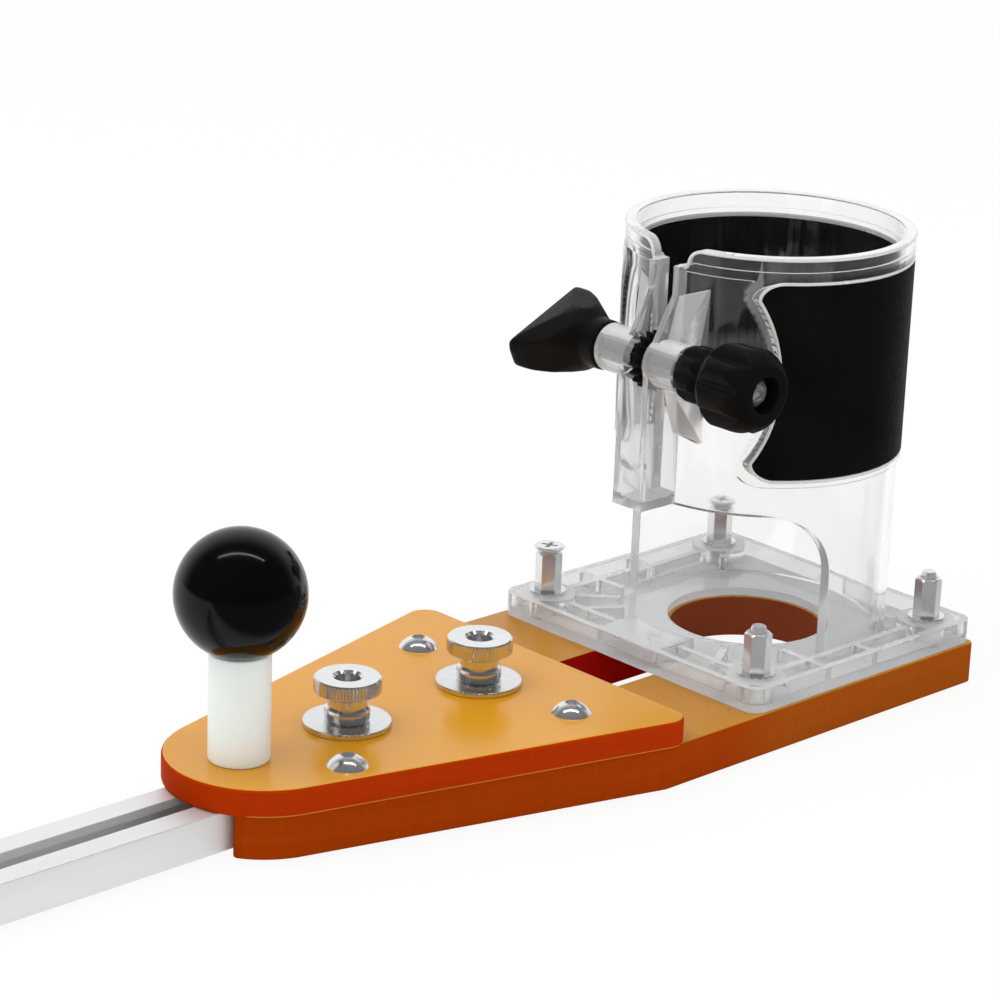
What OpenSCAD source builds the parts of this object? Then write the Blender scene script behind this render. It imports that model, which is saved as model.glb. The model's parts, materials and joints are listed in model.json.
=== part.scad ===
// Router circle cutting jig: two stacked plates on a sliding T-slot rail,
// a handle at the nose and a clear clamping base for a trim router motor.
// Millimetres. The router axis is the Z axis, the work surface is z = 0,
// the rail and the handle lie on the -X side.

/* [Plates] */
// Thickness of the lower plate
base_t = 10.8; // [10:0.1:14]
// Thickness of the upper plate
top_t = 6.7; // [5:0.1:10]
// Width of the lower plate under the router base
base_w = 90.6; // [88:0.2:110]
// Router axis to the free end of the lower plate
base_end = 37.2; // [37.2:0.2:60]
// Router axis to the bend where the lower plate starts to taper
bend_x = 74; // [66:0.5:84]
// Corner radius at that bend
bend_r = 8; // [3:0.5:14]
// Corner radius at the free end of the lower plate
end_r = 2; // [0.5:0.5:6]
// Router axis to the wide end of the upper plate
top_end = 68.8; // [60:0.2:76]
// Width of the upper plate at its wide end
top_w = 93.4; // [80:0.2:110]
// Corner radius at the wide end of the upper plate
top_r = 5; // [2:0.5:10]
// Router axis to the centre of the nose arc
nose_x = 160.2; // [156:0.1:170]
// Nose radius of the upper plate
nose_r = 23.3; // [22:0.1:28]
// How far the lower plate stands back at the nose
nose_step = 1.8; // [0:0.1:3]
// Diameter of the cutter hole
bit_hole_d = 39; // [30:0.5:44]
// Rounding of the two prong tips beside the rail
prong_r = 1.5; // [0.5:0.1:3]

/* [Plate screws] */
// Shank diameter
screw_d = 5; // [4:0.1:6]
// Button head diameter
screw_head_d = 9.6; // [7:0.1:12]
// Button head height
screw_head_h = 2.7; // [2:0.1:4]
// Hex key size
screw_key = 3; // [2:0.5:4]
// Router axis to the wide pair
screw_wide_x = 89.5; // [82:0.5:95]
// Distance between the wide pair
screw_wide_y = 54; // [46:1:64]
// Router axis to the nose pair
screw_nose_x = 151; // [146:0.5:155]
// Distance between the nose pair
screw_nose_y = 36.6; // [32:0.2:40]

/* [Rail] */
// Width of the rail
rail_w = 19; // [17:0.1:22]
// Height of the rail
rail_h = 9.6; // [9:0.1:10]
// Length of the rail
rail_l = 300; // [240:5:500]
// Router axis to the inner end of the rail
rail_in = 76; // [70:1:84]
// Width of the T-slot mouth
mouth_w = 6.4; // [6.4:0.1:7.4]
// Thickness of the two lips
lip_t = 2.2; // [1.6:0.1:2.6]
// Width of the T-slot inside
cavity_w = 12.8; // [12.4:0.1:14]
// Height of the T-slot inside
cavity_h = 4.6; // [4.4:0.1:5]
// Gap between rail and plate slot on each side
rail_side_gap = 0.7; // [0.3:0.1:1.5]

/* [Rail clamps] */
// Router axis to the front clamp
front_x = 135.6; // [128:0.5:142]
// Router axis to the rear clamp
rear_x = 94.3; // [90:0.5:104]
// T-bolt shank diameter
bolt_d = 5.8; // [5.4:0.1:5.8]
// T-bolt hex head across flats
bolt_head = 10; // [9:0.5:10.5]
// T-bolt head thickness
bolt_head_t = 3; // [2:0.1:3.2]
// Washer diameter
washer_d = 20.7; // [18:0.1:24]
// Washer thickness
washer_t = 1.3; // [0.8:0.1:2]
// Diameter of the knurled head
nut_d = 15.9; // [14:0.1:20]
// Thickness of the knurled head
nut_head_t = 3.8; // [3:0.1:6]
// Height of the whole thumb nut
nut_h = 10.7; // [9:0.1:14]
// Diameter of the nut's foot
nut_foot_d = 10.8; // [9:0.1:13]
// Diameter of the nut's waist
nut_waist_d = 9.4; // [8.6:0.1:11]
// Ridges around the knurled head
knurls = 60; // [24:1:72]
// Radial clearance of the thread
thread_gap = 0.08; // [0.03:0.01:0.1]

/* [Handle] */
// Router axis to the handle
handle_x = 167.5; // [164:0.5:172]
// Post diameter
post_d = 14.2; // [12:0.1:18]
// Post height
post_h = 25.9; // [20:0.1:40]
// Ball diameter
ball_d = 30.1; // [26:0.1:40]
// Handle bolt diameter
handle_bolt_d = 6; // [5:0.1:7]
// Handle bolt head diameter
handle_head_d = 11.6; // [10:0.1:13]
// Brass insert diameter
insert_d = 10; // [9:0.1:12]
// Brass insert length
insert_l = 15; // [10:0.5:18]

/* [Clear base] */
// Router axis to the front edge of the flange
flange_front = 44.9; // [44.9:0.1:50]
// How far the flange stands back from the free end of the lower plate
flange_end_gap = 0.3; // [0.1:0.1:4]
// How far the flange stands back from the sides of the lower plate
flange_side_gap = 0.6; // [0.2:0.1:4]
// Flange height
flange_h = 6.2; // [5:0.1:9]
// Flange floor thickness
floor_t = 2.2; // [1.6:0.1:3]
// Flange wall thickness
wall_t = 2; // [1.4:0.1:3]
// Rib thickness
rib_t = 2; // [1.2:0.1:3]
// Width of the raised block on the front edge
block_w = 21; // [16:0.5:26]
// Flange corner radius
flange_r = 4; // [3:0.5:8]
// Corner boss diameter
boss_d = 14.6; // [11:0.2:16]
// Hole in the flange floor
floor_hole_d = 41; // [40:0.5:48]
// Socket diameter for the router motor
socket_d = 65.2; // [64.6:0.1:66]
// Outer diameter of the tube wall
tube_d = 70.4; // [69.6:0.1:71]
// Outer diameter of the rim and of the frame around the grip
rim_d = 72; // [71.6:0.1:73]
// Height of the whole moulding
tube_h = 106.2; // [100:0.2:120]
// Height of the rim ring
rim_h = 5.8; // [4:0.1:8]
// Rounding of the rim on both sides of the slit
rim_round = 4; // [2:0.1:4.4]
// Diameter of the lead-in at the mouth of the socket
mouth_d = 66.8; // [66.4:0.1:68]
// Top edge of the chip window above the plate
window_h = 40.9; // [34:0.5:41]
// Router axis to the sides of the chip window
window_x = 8.7; // [4:0.1:14]
// Corner radius of the chip window
window_r = 16; // [8:0.5:18]

/* [Grip] */
// Lower edge of the grip above the plate
grip_z = 50.7; // [46:0.1:56]
// Upper edge of the grip above the plate
grip_top = 99.6; // [96:0.1:100]
// Router axis to the front edge of the grip
grip_front = 27.6; // [24:0.1:29]
// How far the waist cuts into the front edge
grip_waist = 4.3; // [2:0.1:6]
// Corner radius of the grip
grip_r = 4; // [2:0.5:6]
// Diameter of the pocket floor under the grip
pocket_d = 68.4; // [68:0.1:69]
// Width of the raised frame around the grip
frame_w = 2; // [1.2:0.1:3]

/* [Clamp] */
// Router axis to the clamp axis
clamp_x = 41; // [40.4:0.1:43]
// Clamp axis above the plate
clamp_h = 78.2; // [75:0.1:81]
// Width of the slit in the tube
slit_w = 6.4; // [6:0.1:7.4]
// Lower end of the slit above the plate
slit_z = 50.8; // [46:0.2:60]
// Thickness of each ear
ear_t = 1.8; // [1.4:0.1:2.6]
// Router axis to the front edge of the ears
ear_front = 46.4; // [45:0.1:49]
// Router axis to the front edge of the tabs above the ears
tab_front = 37.6; // [36.4:0.1:40]
// Lower end of the ears above the plate
ear_z = 41.2; // [41:0.1:46]
// Boss diameter on the ears
ear_boss_d = 12; // [11:0.1:13]
// Router mid plane to the end of the boss on the nut side
boss_nut_y = 13.2; // [11:0.1:15]
// Router mid plane to the end of the boss on the knob side
boss_knob_y = 12.8; // [11:0.1:15]
// Through screw diameter
clamp_d = 4; // [3:0.1:5]
// Head diameter of the through screw
clamp_head_d = 7.8; // [6:0.1:8.4]
// Head height of the through screw
clamp_head_h = 2.7; // [2:0.1:3.2]
// Depth of the well in the knob in which that head sits
head_seat = 4.2; // [3.4:0.1:6]
// Pinion shaft diameter
shaft_d = 7; // [6.6:0.1:8]
// Running clearance of the shaft in the ears, radial
shaft_gap = 0.06; // [0.02:0.01:0.1]
// Pinion teeth
teeth = 18; // [14:1:20]
// Pinion tip diameter
pinion_d = 14.4; // [13:0.1:15.4]
// Length of the pinion shaft inside the knob
shaft_in = 6; // [4:0.5:9]
// Pinion face width
pinion_w = 3; // [2.4:0.1:5]
// Length of the depth knob
knob_l = 25.4; // [22:0.1:32]
// Largest diameter of the depth knob
knob_d = 21.4; // [18:0.1:24]
// Diameter of the inner lobes of the knob
knob_hub_d = 14.4; // [13:0.1:17]
// Lobes of the knob
lobes = 8; // [5:1:10]
// Wing nut, tip to tip
wing_w = 28.4; // [24:0.2:32]
// Wing nut, axial length
wing_l = 23; // [19:0.5:28]
// Length of the brass insert in the wing nut
wing_insert_l = 9; // [7:0.5:12]
// Wing thickness at the outer end
wing_t = 7.8; // [6:0.1:10]
// Diameter of the wing nut's foot
wing_foot_d = 12.6; // [12:0.1:14]
// Thickness of the wing nut at its belly
wing_belly_d = 16; // [14:0.2:18]
// Turn of the wing nut as it is stored
wing_turn = 25; // [-45:1:45]

/* [Pillars] */
// Front edge of the flange to the front pair of pillars
pillar_in_front = 8.6; // [7.5:0.1:10]
// Back edge of the flange to the back pair of pillars
pillar_in_back = 9.6; // [7.5:0.1:11]
// Sides of the flange to the pillars
pillar_in_side = 8.1; // [7.5:0.1:10]
// Hex pillar across flats
pillar_af = 6; // [5.5:0.1:7]
// Hex pillar height
pillar_h = 10.2; // [8:0.1:14]
// Washer under each pillar, diameter
pillar_washer_d = 9.4; // [8:0.1:11]
// Washer under each pillar, thickness
pillar_washer_t = 0.9; // [0.5:0.1:1.5]
// Diameter of the base screws
base_screw_d = 3.9; // [3:0.1:4]
// Head diameter of the base screws
base_screw_head_d = 7.6; // [6.5:0.1:8.4]
// Diameter of the flared heads on the two far pillars
flare_d = 8.3; // [7.4:0.1:9]
// Height of the flared heads
flare_h = 1.7; // [1.2:0.1:2.5]
// Length of the flared screws in the pillars
flare_l = 4.6; // [3:0.1:5]

/* [Pivot pin] */
// Diameter of the tip that turns in the work
pin_d = 5; // [4:0.1:5.2]
// Height of the point
pin_point = 2.6; // [1:0.1:3.5]
// Diameter of the shank that slides in the rail
pin_shank_d = 6.2; // [5.4:0.1:6.6]
// Outer end of the rail to the pin
pin_end = 14; // [10:0.5:30]
// Pin head diameter
pin_head_d = 13; // [10:0.5:18]
// Pin head height
pin_head_h = 6; // [4:0.5:10]
// Drop of the pin below the work surface in use
pin_drop = 8; // [4:0.5:12]
// Running clearance of the pin in the rail, radial
pin_gap = 0.06; // [0.02:0.01:0.1]

/* [Hidden] */
$fn = 96;
// Gap around a screw in its own hole
hole_gap = 0.15;
// Gap between solids that move past each other
move_gap = 0.35;
// Room around the head of the through screw
head_gap = 0.6;
// How far straight sides lie inside the tangent of the corner arcs
tangent_in = 0.01;
z_top = base_t + top_t;
slot_w = rail_w + 2 * rail_side_gap;
flange_back = base_end - flange_end_gap;
flange_w = base_w - 2 * flange_side_gap;
pillar_front = flange_front - pillar_in_front;
pillar_back = flange_back - pillar_in_back;
pillar_y = flange_w - 2 * pillar_in_side;
// Router axis to the ribs across the sides of the flange
side_ribs = [-17.6, -0.3];
rail_z = base_t - rail_h;
cavity_top = base_t - lip_t;
cavity_z = cavity_top - cavity_h;
bolt_hole = bolt_d + 2 * move_gap;
bolt_z = cavity_top - bolt_head_t;
nut_z = z_top + washer_t;
bolt_end = nut_z + nut_h - 3;
ball_z = z_top + post_h + sqrt(pow(ball_d / 2, 2) - pow(post_d / 2 - 0.3, 2));
floor_z = base_t + floor_t;
pillar_z = base_t + flange_h + pillar_washer_t;
pillar_top = pillar_z + pillar_h;
tube_r = tube_d / 2;
rim_r = rim_d / 2;
socket_r = socket_d / 2;
pocket_r = pocket_d / 2;
ear_out = slit_w / 2 + ear_t;
gusset_turn = 24;
gusset_top = clamp_h + 16.2;
gusset_low = clamp_h - 18.3;
tab_h = tube_h - 4.6;
rim_gap = ear_out + 0.6;
frame_z = grip_z - frame_w;
clamp_z = base_t + clamp_h;
knob_y = -boss_knob_y - move_gap;
knob_end = knob_y - knob_l;
wing_y = boss_nut_y + move_gap;
wing_end = wing_y + wing_l;
pin_x = -rail_in - rail_l + pin_end;
pillar_places = [[-pillar_front, -pillar_y / 2], [pillar_back, -pillar_y / 2]];
flare_places = [[-pillar_front, pillar_y / 2], [pillar_back, pillar_y / 2]];
corner_places = concat(pillar_places, flare_places);
screw_places = [[-screw_wide_x, screw_wide_y / 2], [-screw_wide_x, -screw_wide_y / 2],
  [-screw_nose_x, screw_nose_y / 2], [-screw_nose_x, -screw_nose_y / 2]];

// Straight side between two circles of an outline that is walked anticlockwise,
// a hair inside the true tangent so that it crosses both arcs
function tangent_pair(a, b) =
  let (d = norm([b[0] - a[0], b[1] - a[1]]))
  let (t = atan2(b[1] - a[1], b[0] - a[0]) - acos((a[2] - b[2]) / d))
  [for (q = [a, b]) [q[0] + (q[2] - tangent_in) * cos(t), q[1] + (q[2] - tangent_in) * sin(t)]];

// Outline around circles given as [x, y, radius]
module round_outline(c) {
  polygon([for (i = [0 : len(c) - 1]) each tangent_pair(c[i], c[(i + 1) % len(c)])]);
  for (q = c) translate([q[0], q[1]]) circle(r = q[2]);
}

module round_rect(x0, x1, y0, y1, r) {
  round_outline([[x0 + r, y0 + r, r], [x1 - r, y0 + r, r], [x1 - r, y1 - r, r], [x0 + r, y1 - r, r]]);
}

// Cylinder along the clamp axis, from y0 to y1
module clamp_rod(d, y0, y1) {
  translate([-clamp_x, y1, clamp_z]) rotate([90, 0, 0]) cylinder(d = d, h = y1 - y0);
}

// Cuts a flat shape drawn in X and Z through the whole width
module through_y(half) {
  translate([0, half, 0]) rotate([90, 0, 0]) linear_extrude(2 * half) children();
}

// Cross recess of a screw head, pointing down from z = 0
module cross_recess(w, t, deep) {
  translate([-w / 2, -t / 2, -deep]) cube([w, t, deep + 1]);
  translate([-t / 2, -w / 2, -deep]) cube([t, w, deep + 1]);
}

// Domed screw head of radius r and height h, standing on z = 0
module dome(r, h) {
  ball = (r * r + h * h) / (2 * h);
  intersection() {
    translate([0, 0, h - ball]) sphere(r = ball);
    cylinder(r = r + 1, h = h + 1);
  }
}

// Lower plate

module base_outline() {
  y = base_w / 2;
  round_outline([
    [-nose_x, 0, nose_r - nose_step],
    [-bend_x, -y + bend_r, bend_r],
    [base_end - end_r, -y + end_r, end_r],
    [base_end - end_r, y - end_r, end_r],
    [-bend_x, y - bend_r, bend_r]
  ]);
}

// Rounds one prong tip between the slot wall and the nose arc
module prong_cut() {
  n = nose_r - nose_step;
  cy = slot_w / 2 + prong_r;
  cx = -nose_x - sqrt(pow(n - prong_r, 2) - cy * cy);
  far = 3 * nose_r;
  difference() {
    polygon([[cx, slot_w / 2 - 1], [cx, cy], [-nose_x + (cx + nose_x) * 1.6, cy * 1.6],
      [cx - far, slot_w / 2 - 1]]);
    translate([cx, cy]) circle(r = prong_r);
  }
}

module base_plate() {
  color([0.85, 0.42, 0.07])
  difference() {
    linear_extrude(base_t) difference() {
      base_outline();
      translate([-nose_x - 2 * nose_r, -slot_w / 2]) square([nose_x + 2 * nose_r, slot_w]);
      circle(d = bit_hole_d);
      prong_cut();
      mirror([0, 1]) prong_cut();
    }
    for (p = screw_places) translate([p[0], p[1], 2]) cylinder(d = screw_d + 2 * hole_gap, h = base_t);
    for (p = corner_places) translate([p[0], p[1], -1])
      cylinder(d = base_screw_d + 2 * hole_gap, h = base_t + 2);
    for (p = corner_places) translate([p[0], p[1], 0]) base_screw_head(2 * hole_gap, 0.5);
  }
}

// Upper plate

module top_plate() {
  y = top_w / 2 - top_r;
  color([0.88, 0.55, 0.13])
  difference() {
    translate([0, 0, base_t]) linear_extrude(top_t) difference() {
      round_outline([[-nose_x, 0, nose_r], [-top_end - top_r, -y, top_r], [-top_end - top_r, y, top_r]]);
      for (p = screw_places) translate(p) circle(d = screw_d + 2 * hole_gap);
      translate([-front_x, 0]) circle(d = bolt_hole);
      translate([-rear_x, 0]) circle(d = bolt_hole);
      translate([-handle_x, 0]) circle(d = handle_bolt_d + 2 * hole_gap);
    }
    translate([-handle_x, 0, base_t]) handle_head(2 * hole_gap, 1);
  }
}

module plate_screw() {
  difference() {
    union() {
      translate([0, 0, z_top]) dome(screw_head_d / 2, screw_head_h);
      translate([0, 0, 2.5]) cylinder(d = screw_d, h = z_top - 2.5 + 0.5);
    }
    translate([0, 0, z_top + 0.8]) rotate(20) cylinder(d = screw_key / cos(30), h = screw_head_h, $fn = 6);
  }
}

module plate_screws() {
  color([0.8, 0.81, 0.83])
  for (p = screw_places) translate(p) plate_screw();
}

// Rail, its two clamps and the pivot pin

module rail() {
  color([0.82, 0.83, 0.85])
  difference() {
    translate([-rail_in - rail_l, 0, 0]) rotate([90, 0, 90]) linear_extrude(rail_l) difference() {
      translate([-rail_w / 2, rail_z]) square([rail_w, rail_h]);
      translate([-mouth_w / 2, cavity_top - 1]) square([mouth_w, lip_t + 2]);
      translate([-cavity_w / 2, cavity_z]) square([cavity_w, cavity_h]);
    }
    translate([pin_x, 0, 0]) cylinder(d = pin_shank_d + 2 * pin_gap, h = base_t);
  }
}

module t_bolt(x) {
  color([0.55, 0.56, 0.58])
  translate([-x, 0, 0]) {
    translate([0, 0, bolt_z]) cylinder(d = bolt_head / cos(30), h = bolt_head_t, $fn = 6);
    translate([0, 0, bolt_z + 0.5]) cylinder(d = bolt_d, h = bolt_end - bolt_z - 0.5);
  }
}

module front_t_bolt() {
  t_bolt(front_x);
}

module rear_t_bolt() {
  t_bolt(rear_x);
}

module clamp_washer(x) {
  color([0.78, 0.79, 0.81])
  translate([-x, 0, z_top]) linear_extrude(washer_t) difference() {
    circle(d = washer_d);
    circle(d = bolt_hole);
  }
}

module front_washer() {
  clamp_washer(front_x);
}

module rear_washer() {
  clamp_washer(rear_x);
}

module thumb_nut(x) {
  head_z = nut_h - nut_head_t;
  r = nut_d / 2;
  edge = 0.5;
  foot = nut_foot_d / 2;
  color([0.78, 0.79, 0.81])
  translate([-x, 0, nut_z])
  difference() {
    union() {
      rotate_extrude() polygon([[0, 0], [foot - 0.6, 0], [foot - 0.15, 0.3], [foot, 0.9],
        [foot, head_z * 0.36], [foot - 0.15, head_z * 0.46], [nut_waist_d / 2, head_z * 0.56],
        [nut_waist_d / 2, head_z + 0.2], [0, head_z + 0.2]]);
      translate([0, 0, head_z]) intersection() {
        linear_extrude(nut_head_t) polygon([for (i = [0 : 2 * knurls - 1])
          [(r - (i % 2) * 0.38) * cos(180 * i / knurls), (r - (i % 2) * 0.38) * sin(180 * i / knurls)]]);
        rotate_extrude() polygon([[0, 0], [r - edge, 0], [r + 0.1, edge + 0.1],
          [r + 0.1, nut_head_t - edge - 0.1], [r - edge, nut_head_t], [0, nut_head_t]]);
      }
    }
    translate([0, 0, -1]) cylinder(d = bolt_d + 2 * thread_gap, h = nut_h + 2);
    translate([0, 0, nut_h - 0.6]) cylinder(d1 = bolt_d + 2 * thread_gap, d2 = bolt_d + 1.6, h = 0.61);
  }
}

module front_thumb_nut() {
  thumb_nut(front_x);
}

module rear_thumb_nut() {
  thumb_nut(rear_x);
}

module pivot_pin() {
  color([0.6, 0.61, 0.63])
  translate([pin_x, 0, 0]) {
    cylinder(d1 = 0.8, d2 = pin_d, h = pin_point);
    translate([0, 0, pin_point]) cylinder(d = pin_d, h = pin_drop - pin_point + 0.2);
    translate([0, 0, pin_drop]) cylinder(d = pin_shank_d, h = base_t + 0.2);
    translate([0, 0, pin_drop + base_t]) cylinder(d = pin_head_d, h = pin_head_h);
  }
}

// Handle

module handle_head(grow, drop) {
  translate([0, 0, -drop]) cylinder(d = handle_head_d + grow, h = drop + 0.4);
  translate([0, 0, 0.4]) cylinder(d1 = handle_head_d + grow, d2 = handle_bolt_d + grow, h = 3);
}

module handle_post() {
  color([0.95, 0.95, 0.9])
  translate([-handle_x, 0, z_top]) linear_extrude(post_h) difference() {
    circle(d = post_d);
    circle(d = handle_bolt_d + 2 * hole_gap);
  }
}

module handle_bolt() {
  color([0.6, 0.61, 0.63])
  translate([-handle_x, 0, base_t])
  difference() {
    union() {
      intersection() {
        handle_head(0, 0);
        translate([0, 0, 0.4]) cylinder(d = handle_head_d + 1, h = 10);
      }
      translate([0, 0, 1]) cylinder(d = handle_bolt_d, h = top_t + post_h + insert_l - 3);
    }
    translate([0, 0, 0]) rotate(30) cylinder(d = 4 / cos(30), h = 2.4, $fn = 6);
  }
}

module ball_knob() {
  color([0.02, 0.02, 0.02])
  difference() {
    translate([-handle_x, 0, ball_z]) sphere(d = ball_d);
    translate([-handle_x - ball_d, -ball_d, z_top]) cube([2 * ball_d, 2 * ball_d, post_h]);
    translate([-handle_x, 0, z_top]) cylinder(d = insert_d, h = post_h + insert_l);
  }
}

module ball_insert() {
  color([0.75, 0.6, 0.25])
  translate([-handle_x, 0, z_top + post_h]) difference() {
    cylinder(d = insert_d, h = insert_l);
    translate([0, 0, -1]) cylinder(d = handle_bolt_d + 2 * hole_gap, h = insert_l);
  }
}

// Clear base

module flange_outline(inset) {
  y = flange_w / 2 - inset;
  round_rect(-flange_front + inset, flange_back - inset, -y, y, flange_r - inset);
}

// Straight rib from a to b, standing on the flange floor
module rib(a, b, h) {
  d = b - a;
  translate([a[0], a[1], 0]) rotate(atan2(d[1], d[0]))
    translate([0, -rib_t / 2, 0]) cube([norm(d), rib_t, h]);
}

module flange_ribs() {
  h = flange_h - 0.5;
  side = flange_w / 2 - wall_t / 2;
  for (s = [-1, 1]) {
    rib([-pillar_front, s * pillar_y / 2], [0, 0], h);
    rib([pillar_back, s * pillar_y / 2], [0, 0], h);
    for (x = side_ribs) rib([x, s * side], [x, s * sqrt(socket_r * socket_r - x * x)], h);
    rib([-pillar_front, s * (pillar_y + block_w) / 4], [0, 0], h);
    rib([-pillar_front, s * pillar_y / 2], [pillar_back, s * pillar_y / 2], h);
    rib([-pillar_front, s * pillar_y / 2], [-pillar_front, s * block_w / 2], h);
  }
}

// Raised block in the middle of the front edge, hollow from below its front face
module front_block() {
  difference() {
    translate([-flange_front, -block_w / 2, 0]) cube([flange_front, block_w, flange_h]);
    translate([-flange_front + wall_t, -block_w / 2 + rib_t, floor_t])
      cube([flange_front, block_w - 2 * rib_t, flange_h - floor_t - rib_t / 2]);
  }
}

module flange() {
  difference() {
    union() {
      linear_extrude(floor_t) flange_outline(0);
      linear_extrude(flange_h) difference() {
        flange_outline(0);
        flange_outline(wall_t);
      }
      intersection() {
        flange_ribs();
        linear_extrude(flange_h) flange_outline(0.5);
      }
      front_block();
      for (p = corner_places) translate(p) cylinder(d = boss_d, h = flange_h);
    }
    for (p = corner_places) translate([p[0], p[1], -1])
      cylinder(d = base_screw_d + 2 * hole_gap, h = flange_h + 2);
  }
}

// Side view of the grip; grow makes the frame around it
module grip_side(grow) {
  half = (grip_top - grip_z) / 2 - grip_r;
  r = (half * half + grip_waist * grip_waist) / (2 * grip_waist) - grow;
  difference() {
    round_rect(-grip_front - grow, 2 * rim_r, grip_z - grow, grip_top + grow, grip_r);
    translate([-grip_front + grip_waist - grow - r, (grip_z + grip_top) / 2]) circle(r = r);
  }
}

// Side view of the chip window, open towards the front and the plate
module window_side() {
  round_rect(-2 * rim_r, -window_x, -3 * window_r, window_h, window_r);
}

// Side view of one ear with its sloping upper edge
module ear_side() {
  polygon([[-socket_r + 2, ear_z], [-ear_front, ear_z], [-ear_front, clamp_h + 0.5],
    [-tab_front, gusset_top], [-tab_front, tab_h], [-socket_r + 2, tab_h]]);
}

// Wedges that brace the near boss against the tube above and below, cut from three views
module gusset() {
  front = clamp_x - 0.4;
  seat_top = clamp_h + 4.4;
  seat_low = clamp_h - 7.8;
  inside = socket_r - 2;
  rise = 4;
  intersection() {
    translate([-front, -ear_out, 0]) rotate(gusset_turn) through_y(2 * rim_r) scale([cos(gusset_turn), 1])
      polygon([[rim_r, gusset_top + rise], [front - tab_front + 1.6, gusset_top + rise], [0, seat_top],
        [0, seat_low], [front - tube_r - 0.2, gusset_low - rise], [rim_r, gusset_low - rise]]);
    linear_extrude(tube_h) polygon([[-inside, 1 - ear_out], [-front - 1, 1 - ear_out],
      [-front - 1, -ear_out - 1.1], [-inside, -ear_out - 8.4]]);
    rotate([90, 0, -90]) linear_extrude(2 * rim_r) polygon([[ear_out - 1, gusset_low + 0.5],
      [ear_out + 9, gusset_low - 3.8], [ear_out + 9, gusset_top + 3.3], [ear_out - 1, gusset_top - 0.4]]);
  }
}

module ears() {
  for (s = [0, 1]) mirror([0, s, 0]) {
    translate([0, ear_out, 0]) rotate([90, 0, 0]) linear_extrude(ear_out) ear_side();
    mirror([0, 1, 0]) gusset();
  }
  translate([0, 0, -base_t]) clamp_rod(ear_boss_d, -boss_knob_y, boss_nut_y);
}

// Gap in the rim over the ears, its upper corners rounded off
module rim_opening() {
  corner = 0.8;
  round_rect(-rim_gap, rim_gap, tab_h, tab_h + 4 * rim_gap, corner);
  for (s = [0, 1]) mirror([s, 0]) difference() {
    translate([rim_gap - 0.1, tube_h - rim_round]) square(rim_round + 0.1);
    translate([rim_gap + rim_round, tube_h - rim_round]) circle(r = rim_round);
  }
}

// Slit between the ears with a round lower end, and the hollow behind the wall that closes them below
module slit() {
  z = slit_z + slit_w / 2;
  translate([-2 * rim_r, -slit_w / 2, z]) cube([2 * rim_r, slit_w, tube_h]);
  translate([0, 0, z]) rotate([0, -90, 0]) cylinder(d = slit_w, h = 2 * rim_r);
  translate([-ear_front + wall_t, -slit_w / 2, ear_z + wall_t]) cube([ear_front, slit_w, tube_h]);
}

// Tube with its clamp, still filled where the socket comes
module tube() {
  difference() {
    union() {
      cylinder(r = tube_r, h = tube_h);
      translate([0, 0, tube_h - rim_h]) cylinder(r = rim_r, h = rim_h);
      intersection() {
        cylinder(r = rim_r, h = tube_h - rim_h / 2);
        through_y(rim_r + 1) grip_side(frame_w);
      }
      ears();
    }
    difference() {
      through_y(2 * rim_r) grip_side(0);
      translate([0, 0, -1]) cylinder(r = pocket_r, h = tube_h + 2);
    }
    slit();
    translate([-2 * rim_r, 0, 0]) rotate([90, 0, 90]) linear_extrude(2 * rim_r) rim_opening();
    through_y(2 * rim_r) window_side();
  }
}

module clear_base() {
  color([0.85, 0.88, 0.9, 0.45])
  difference() {
    translate([0, 0, base_t]) {
      flange();
      tube();
    }
    clamp_rod(shaft_d + 2 * shaft_gap, -boss_knob_y - 1, boss_nut_y + 1);
    translate([0, 0, floor_z]) cylinder(r = socket_r, h = tube_h);
    translate([0, 0, base_t + tube_h - 4]) cylinder(d = mouth_d, h = 5);
    translate([0, 0, base_t - 1]) cylinder(d = floor_hole_d, h = tube_h);
  }
}

module grip_sleeve() {
  color([0.03, 0.03, 0.03])
  translate([0, 0, base_t]) intersection() {
    difference() {
      cylinder(r = rim_r + 0.1, h = tube_h);
      translate([0, 0, -1]) cylinder(r = pocket_r, h = tube_h + 2);
    }
    through_y(2 * rim_r) grip_side(0);
  }
}

// Clamp axis: pinion, depth knob, through screw and wing nut

module pinion_outline() {
  r = pinion_d / 2;
  root = r - 1.9;
  step = 360 / teeth;
  polygon([for (i = [0 : teeth - 1]) each [
    [root * cos(step * (i - 0.30)), root * sin(step * (i - 0.30))],
    [r * cos(step * (i - 0.13)), r * sin(step * (i - 0.13))],
    [r * cos(step * (i + 0.13)), r * sin(step * (i + 0.13))],
    [root * cos(step * (i + 0.30)), root * sin(step * (i + 0.30))]
  ]]);
}

module pinion() {
  color([0.03, 0.03, 0.03])
  difference() {
    union() {
      translate([-clamp_x, pinion_w + move_gap - slit_w / 2, clamp_z]) rotate([90, 0, 0])
        linear_extrude(pinion_w) pinion_outline();
      clamp_rod(shaft_d, knob_y - shaft_in, boss_nut_y - 0.5);
    }
    clamp_rod(clamp_d + 2 * move_gap, knob_y - shaft_in - 1, boss_nut_y + 1);
  }
}

// Lobed disc standing along the clamp axis from y0 towards the outside
module lobed(d, y0, y1) {
  r = d / 2;
  bump = r * 0.30;
  translate([-clamp_x, y0, clamp_z]) rotate([90, 0, 0]) linear_extrude(y0 - y1) {
    circle(r = r - bump * 0.55);
    for (i = [0 : lobes - 1]) rotate(360 * i / lobes + 11) translate([r - bump, 0]) circle(r = bump);
  }
}

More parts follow.
